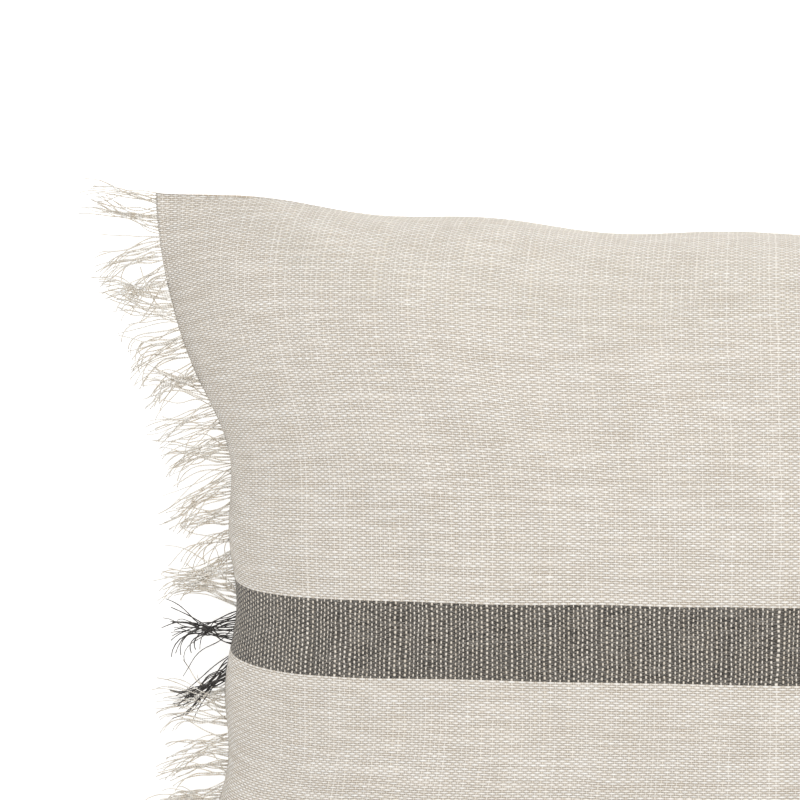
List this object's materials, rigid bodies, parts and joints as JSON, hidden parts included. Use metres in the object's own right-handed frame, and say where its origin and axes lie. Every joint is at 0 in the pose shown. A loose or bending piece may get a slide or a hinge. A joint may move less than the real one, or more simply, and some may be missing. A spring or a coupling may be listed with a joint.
{
  "type": "throw pillow",
  "caption": "Rectangular filled cushion with a woven striped cover, fringed short sides and a hidden zip edge.",
  "frame": {"origin": "under the middle of the cushion, on the surface that its back lies on", "axes": "+X along the width, +Y towards the top edge, +Z out of the front face"},
  "size_m": [0.6326, 0.376, 0.132],
  "materials": {
    "cover_cloth": "coarse plain weave in off-white and beige with one charcoal weft stripe",
    "thread": "spun polyester sewing thread",
    "fringe_natural": "loose natural weft yarns",
    "fringe_charcoal": "loose charcoal weft yarns",
    "ticking": "plain white non-woven casing",
    "filling": "white polyester fibre fill",
    "label": "blank white satin tape",
    "zip_tape": "woven beige zip tape",
    "zip_teeth": "moulded beige plastic teeth",
    "zip_metal": "antique nickel finish"
  },
  "bodies": {
    "root": {"cover_front_panel": "cover_cloth", "cover_back_panel": "cover_cloth", "seam_thread_needle": "thread", "seam_thread_bobbin": "thread", "fringe_left_natural": "fringe_natural", "fringe_left_charcoal": "fringe_charcoal", "fringe_right_natural": "fringe_natural", "fringe_right_charcoal": "fringe_charcoal", "insert_ticking_front": "ticking", "insert_ticking_back": "ticking", "insert_filling": "filling", "insert_seam_thread": "thread", "care_label": "label", "zipper_tape_front": "zip_tape", "zipper_tape_back": "zip_tape", "zipper_teeth_front": "zip_teeth", "zipper_teeth_back": "zip_teeth", "zipper_top_stops": "zip_metal", "zipper_bottom_stop": "zip_metal", "zipper_stitching": "thread"},
    "slider": {"zipper_slider": "zip_metal", "zipper_pull_pin": "zip_metal"},
    "pull": {"zipper_pull": "zip_metal"}
  },
  "joints": [
    {"name": "slider_travel", "type": "slide", "parent": "root", "child": "slider", "axis": [-1, 0, 0], "range_m": [0, 0.3]},
    {"name": "pull_swing", "type": "hinge", "parent": "slider", "child": "pull", "pos_m": [0.15, -0.1704, 0.062], "axis": [0, 0, 1], "range_deg": [0, 180]}
  ]
}
